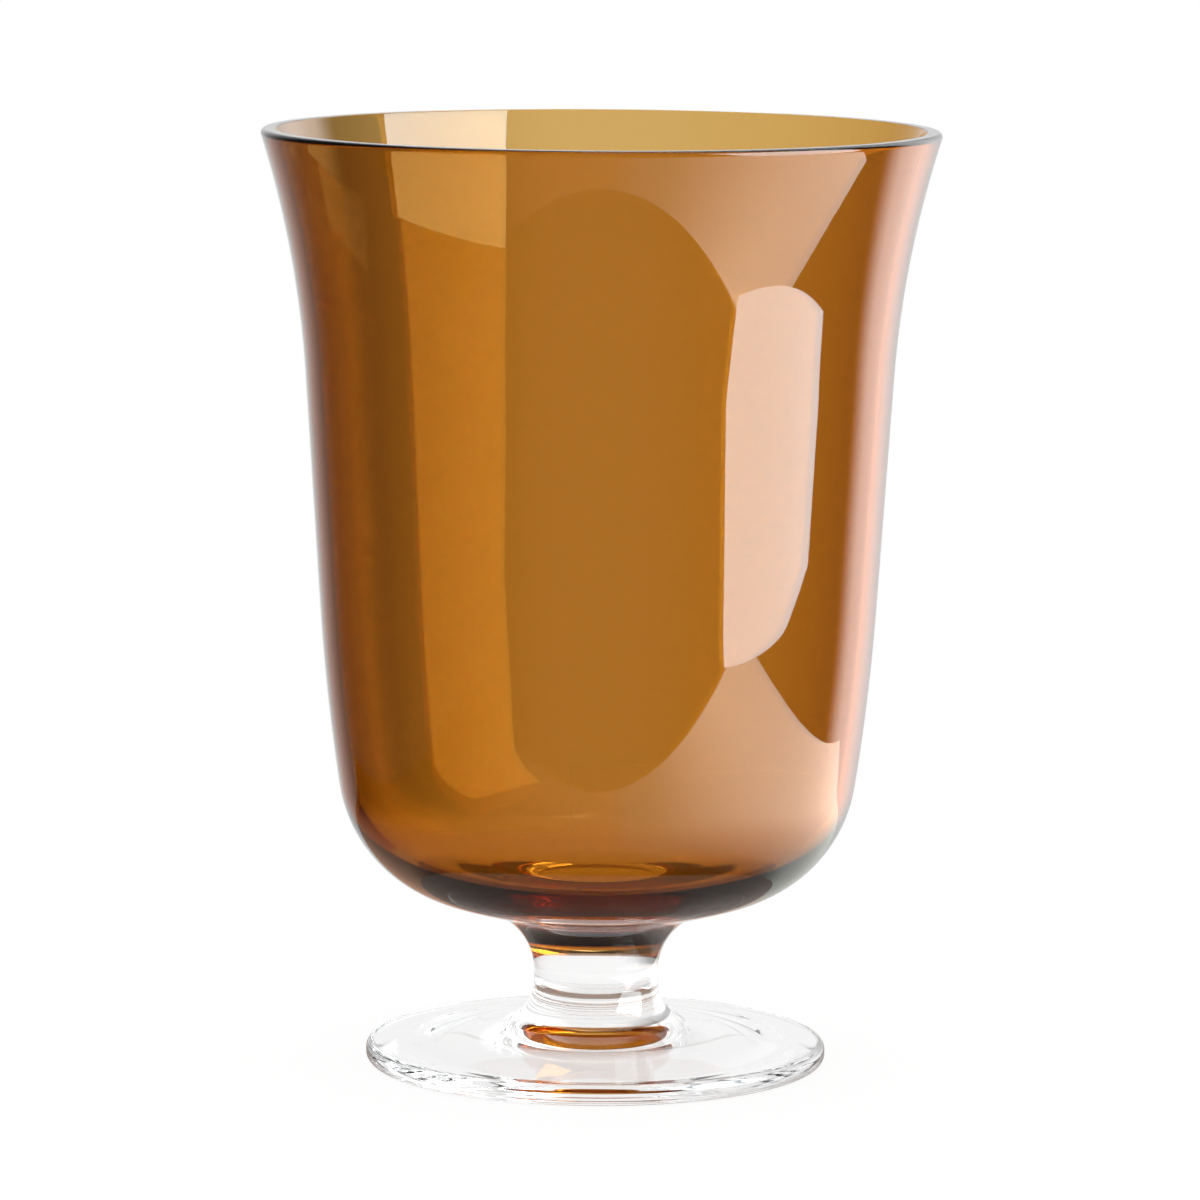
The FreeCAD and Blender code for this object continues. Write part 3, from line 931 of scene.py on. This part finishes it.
class VASE_OT_set_stage(bpy.types.Operator):
    """Set the pale table, the white backdrop, the lights that the glass mirrors and the camera"""

    bl_idname = "vase.set_stage"
    bl_label = "Stage"

    def execute(self, context):
        scene = context.scene
        scene.view_settings.view_transform = "Standard"
        scene.cycles.max_bounces = MOST_BOUNCES
        scene.cycles.transmission_bounces = MOST_BOUNCES
        scene.cycles.glossy_bounces = MOST_THROWN_BACK
        scene.cycles.transparent_max_bounces = MOST_LET_THROUGH
        self.set_world(scene)
        self.set_table(scene)
        self.set_table_edge(scene)
        self.set_softbox(scene)
        self.set_sweep(scene)
        self.set_card(scene)
        self.set_camera(scene)
        return {"FINISHED"}

    def set_world(self, scene):
        """White backdrop for what is seen straight or through the glass, a studio in reflections."""
        world = bpy.data.worlds.new("White studio")
        scene.world = world
        world.use_nodes = True
        tree = world.node_tree
        path = tree.nodes.new("ShaderNodeLightPath")
        place = place_on(tree, "Generated")
        heading = math_node(tree, "ARCTAN2", place["X"], place["Y"])
        # In reflections only the backdrop is white, and the room in front is dark
        backdrop = between(tree, heading, *BACKDROP_HEADINGS)
        lit = blend(tree, ramp(tree, heading, *BRIGHT_HEADINGS), BACKDROP_LEFT, BACKDROP_RIGHT)
        # Light that the glass has thrown about more than once ends on pale things round the vase
        room = blend(tree, often_mirrored(tree, path), ROOM_GREY, ROOM_PALE)
        ahead = ramp(tree, math_node(tree, "ABSOLUTE", heading), *FRONT_HEADINGS)
        outer = opposite(tree, passed_glass(tree, path))
        room = blend(tree, both(tree, ahead, outer), room, ROOM_FRONT)
        studio = blend(tree, backdrop, room, lit)
        glass_sees = blend(tree, in_mirror(tree, path), 1.0, studio)
        unseen = blend(tree, seen_in_glass(tree, path), LIGHT_LEVEL, glass_sees)
        light = tree.nodes["Background"]
        light.inputs["Color"].default_value = WHITE
        strength = blend(tree, path.outputs["Is Camera Ray"], unseen, 1.0)
        tree.links.new(strength, light.inputs["Strength"])

    def set_table(self, scene):
        """Plain pale table top, white to the eye, with the vase's faint soft shadow left on it."""
        mesh = bmesh.new()
        bmesh.ops.create_circle(mesh, cap_ends=True, segments=TABLE_STEPS, radius=TABLE_RADIUS)
        material = bpy.data.materials.new("pale_table_top")
        material.use_nodes = True
        tree = material.node_tree
        shader = tree.nodes["Principled BSDF"]
        shader.inputs["Base Color"].default_value = TABLE_GREY
        shader.inputs["Roughness"].default_value = 1.0
        shader.inputs["Specular IOR Level"].default_value = 0.0
        path = tree.nodes.new("ShaderNodeLightPath")
        in_glass = seen_in_glass(tree, path)
        mirrored = in_mirror(tree, path)
        # Painted shade: the table is painted darker under the foot where it is seen through the glass,
        # and painted dim and amber where the glass mirrors it once
        under = ramp(tree, distance(tree), *UNDER_SHADE_EDGE)
        through = blend(tree, under, TABLE_IN_GLASS, TABLE_UNDER_SHADE)
        white = blend(tree, in_glass, TABLE_WHITE, through)
        once = math_node(tree, "SUBTRACT", mirrored, often_mirrored(tree, path))
        white = blend(tree, once, white, TABLE_MIRRORED_SHADE)
        seen = math_node(tree, "MAXIMUM", path.outputs["Is Camera Ray"], in_glass)
        tree.links.new(tint_from(tree, once, *TABLE_TINTS), shader.inputs["Emission Color"])
        tree.links.new(math_node(tree, "MULTIPLY", white, seen), shader.inputs["Emission Strength"])
        # Reflections see the table only close round the foot, and the sweep below it farther out
        far = math_node(tree, "GREATER_THAN", distance(tree), TABLE_SEEN)
        show_where(material, opposite(tree, both(tree, far, mirrored)), shader.outputs[0])
        set_up(scene, "table_top", mesh, material)

    def set_table_edge(self, scene):
        """White turned-up edge of the table top that the foot's inner reflections end on."""
        mesh = bmesh.new()
        bmesh.ops.create_cone(
            mesh,
            cap_ends=False,
            segments=TABLE_STEPS,
            radius1=TABLE_SEEN,
            radius2=EDGE_RADIUS,
            depth=EDGE_HEIGHT,
        )
        bmesh.ops.translate(mesh, verts=mesh.verts[:], vec=UP * EDGE_HEIGHT / 2)
        panel = LightPanel("table_edge")
        shown = both(panel.tree, in_mirror(panel.tree, panel.path), passed_glass(panel.tree, panel.path))
        panel.hang(scene, mesh, WHITE, EDGE_GLOW, shown)

    def set_softbox(self, scene):
        """Tall softbox on the right."""
        panel = LightPanel("softbox")
        shown = in_mirror(panel.tree, panel.path)
        panel.hang(scene, flat(SOFTBOX_CORNERS), SOFTBOX_TINT, SOFTBOX_GLOW, shown)

    def set_sweep(self, scene):
        """Pale sweep below the vase, with painted light towards the softbox, painted amber light on the
        left and painted shade near the vase.
        """
        panel = LightPanel("sweep")
        tree, along = panel.tree, panel.place["X"]
        # Painted light and shade: brighter towards the softbox, darker far to the left, and darker near
        # the vase
        bright = blend(tree, ramp(tree, along, *SWEEP_BRIGHT), SWEEP_LEFT, SWEEP_RIGHT)
        lit = math_node(tree, "MULTIPLY", bright, ramp(tree, along, *SWEEP_DARK))
        glow = math_node(tree, "MULTIPLY", lit, ramp(tree, distance(tree), *SWEEP_SHADE))
        # Painted light: the amber tint stands for light that has come through the bowl onto the side
        # away from the softbox
        tint = tint_from(tree, ramp(tree, along, *SWEEP_TINTED), *SWEEP_LIGHT_TINTS)
        panel.hang(scene, flat(SWEEP_CORNERS), tint, glow, in_mirror(tree, panel.path))

    def set_card(self, scene):
        """Grey card behind the bowl on the left, which only what is seen through the glass meets."""
        left, right = CARD_EDGES
        low, high = CARD_HEIGHTS
        corners = [
            (left, CARD_PLACE, low),
            (right, CARD_PLACE, low),
            (right, CARD_PLACE, high),
            (left, CARD_PLACE, high),
        ]
        panel = LightPanel("grey_card")
        tree = panel.tree
        inside = both(
            tree,
            ramp(tree, panel.place["X"], *CARD_SOFT),
            ramp(tree, panel.place["Z"], *CARD_FOOT),
        )
        straight = opposite(tree, in_mirror(tree, panel.path))
        shown = both(tree, panel.path.outputs["Is Transmission Ray"], straight)
        panel.hang(scene, flat(corners), WHITE, blend(tree, inside, 1.0, CARD_GREY), shown)

    def set_camera(self, scene):
        """Camera where the picture was taken from: a long lens, a little above the rim."""
        lens = bpy.data.cameras.new("camera")
        lens.sensor_width = CAMERA_FILM
        lens.lens = CAMERA_LENS
        lens.shift_x = CAMERA_SHIFT
        lens.clip_start, lens.clip_end = CAMERA_REACH
        camera = bpy.data.objects.new("camera", lens)
        scene.collection.objects.link(camera)
        tilt = Matrix.Rotation(CAMERA_PITCH, 4, "X")
        roll = Matrix.Rotation(CAMERA_ROLL, 4, "Z")
        camera.matrix_world = Matrix.Translation(CAMERA_PLACE) @ tilt @ roll
        scene.camera = camera


OPERATORS = (
    VASE_OT_blow_casing,
    VASE_OT_blow_lining,
    VASE_OT_draw_stem,
    VASE_OT_press_foot,
    VASE_OT_set_stage,
)


class VASE_PT_pieces(bpy.types.Panel):
    """The vase's pieces and the stage, in the order in which they are made"""

    bl_idname = "VASE_PT_pieces"
    bl_label = "Footed bell vase"
    bl_space_type = "VIEW_3D"
    bl_region_type = "UI"
    bl_category = "Vase"

    def draw(self, context):
        for operator in OPERATORS:
            self.layout.operator(operator.bl_idname)
        for group in (context.scene.vase_sizes, context.scene.vase_finish):
            column = self.layout.column(align=True)
            for name in group.__annotations__:
                column.prop(group, name)


CLASSES = (VaseSizes, VaseFinish, *OPERATORS, VASE_PT_pieces)


def register():
    """Add the classes and give the scene its sizes and finish."""
    for kind in CLASSES:
        bpy.utils.register_class(kind)
    bpy.types.Scene.vase_sizes = bpy.props.PointerProperty(type=VaseSizes)
    bpy.types.Scene.vase_finish = bpy.props.PointerProperty(type=VaseFinish)


def unregister():
    """Take away what register added."""
    del bpy.types.Scene.vase_finish
    del bpy.types.Scene.vase_sizes
    for kind in reversed(CLASSES):
        bpy.utils.unregister_class(kind)


def main():
    """Register, make the pieces in order and set the stage."""
    register()
    bpy.ops.vase.blow_casing()
    bpy.ops.vase.blow_lining()
    bpy.ops.vase.draw_stem()
    bpy.ops.vase.press_foot()
    bpy.ops.vase.set_stage()


if __name__ == "__main__":
    main()
